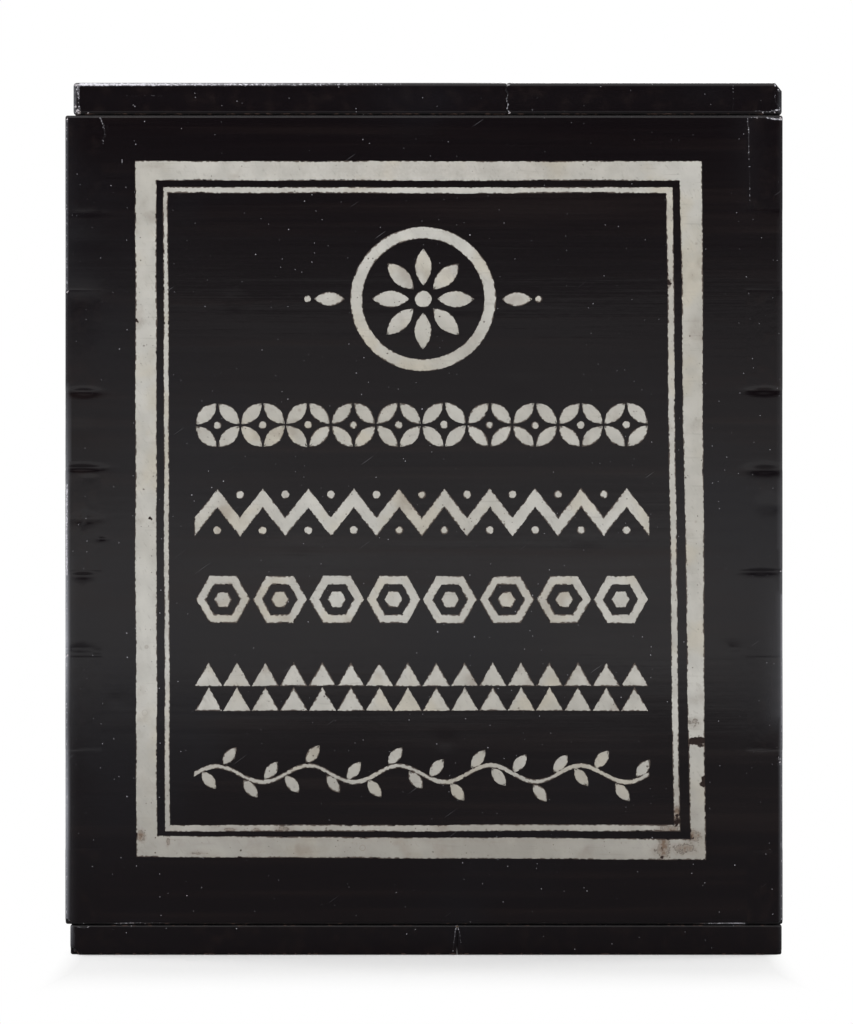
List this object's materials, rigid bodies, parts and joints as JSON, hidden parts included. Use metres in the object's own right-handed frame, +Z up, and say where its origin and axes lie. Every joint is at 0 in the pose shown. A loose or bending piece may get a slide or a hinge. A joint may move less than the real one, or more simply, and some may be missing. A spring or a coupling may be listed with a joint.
{
  "type": "tea chest",
  "caption": "Upright square wooden tea chest in black lacquer, with finger-jointed corners, a plank bottom, a sheet-metal liner and a loose lid that lifts off.",
  "frame": {"origin": "centre of the underside of the chest, at the middle of its bounding box", "axes": "+Z up, the front faces -Y, and +X is to the right seen from the front"},
  "size_m": [0.395, 0.395, 0.4801],
  "materials": {
    "lacquered_wood": "gloss",
    "bare_wood": "sawn",
    "sheet_metal": "dull",
    "iron": "dark"
  },
  "bodies": {
    "body": {"front_board": "lacquered_wood", "back_board": "lacquered_wood", "left_board": "lacquered_wood", "right_board": "lacquered_wood", "bottom_plank_left": "lacquered_wood", "bottom_plank_right": "lacquered_wood", "liner_wall": "sheet_metal", "liner_floor": "sheet_metal", "corner_nail_left_front_1": "iron", "corner_nail_left_front_2": "iron", "corner_nail_left_front_3": "iron", "corner_nail_left_front_4": "iron", "corner_nail_left_front_5": "iron", "corner_nail_left_back_1": "iron", "corner_nail_left_back_2": "iron", "corner_nail_left_back_3": "iron", "corner_nail_left_back_4": "iron", "corner_nail_left_back_5": "iron", "corner_nail_right_front_1": "iron", "corner_nail_right_front_2": "iron", "corner_nail_right_front_3": "iron", "corner_nail_right_front_4": "iron", "corner_nail_right_front_5": "iron", "corner_nail_right_back_1": "iron", "corner_nail_right_back_2": "iron", "corner_nail_right_back_3": "iron", "corner_nail_right_back_4": "iron", "corner_nail_right_back_5": "iron", "bottom_nail_1": "iron", "bottom_nail_2": "iron", "bottom_nail_3": "iron", "bottom_nail_4": "iron", "bottom_nail_5": "iron", "bottom_nail_6": "iron", "bottom_nail_7": "iron", "bottom_nail_8": "iron", "bottom_nail_9": "iron", "bottom_nail_10": "iron", "bottom_nail_11": "iron", "bottom_nail_12": "iron"},
    "lid": {"lid_plank_left": "lacquered_wood", "lid_plank_right": "lacquered_wood", "lid_lining": "sheet_metal", "lid_batten_front": "bare_wood", "lid_batten_back": "bare_wood", "lid_batten_left": "bare_wood", "lid_batten_right": "bare_wood", "batten_nail_front_1": "iron", "batten_nail_front_2": "iron", "batten_nail_front_3": "iron", "batten_nail_back_1": "iron", "batten_nail_back_2": "iron", "batten_nail_back_3": "iron", "batten_nail_left_1": "iron", "batten_nail_left_2": "iron", "batten_nail_right_1": "iron", "batten_nail_right_2": "iron"}
  },
  "joints": [
    {"name": "lid_lift", "type": "slide", "parent": "body", "child": "lid", "axis": [0, 0, 1], "range_m": [0, 0.3]}
  ]
}
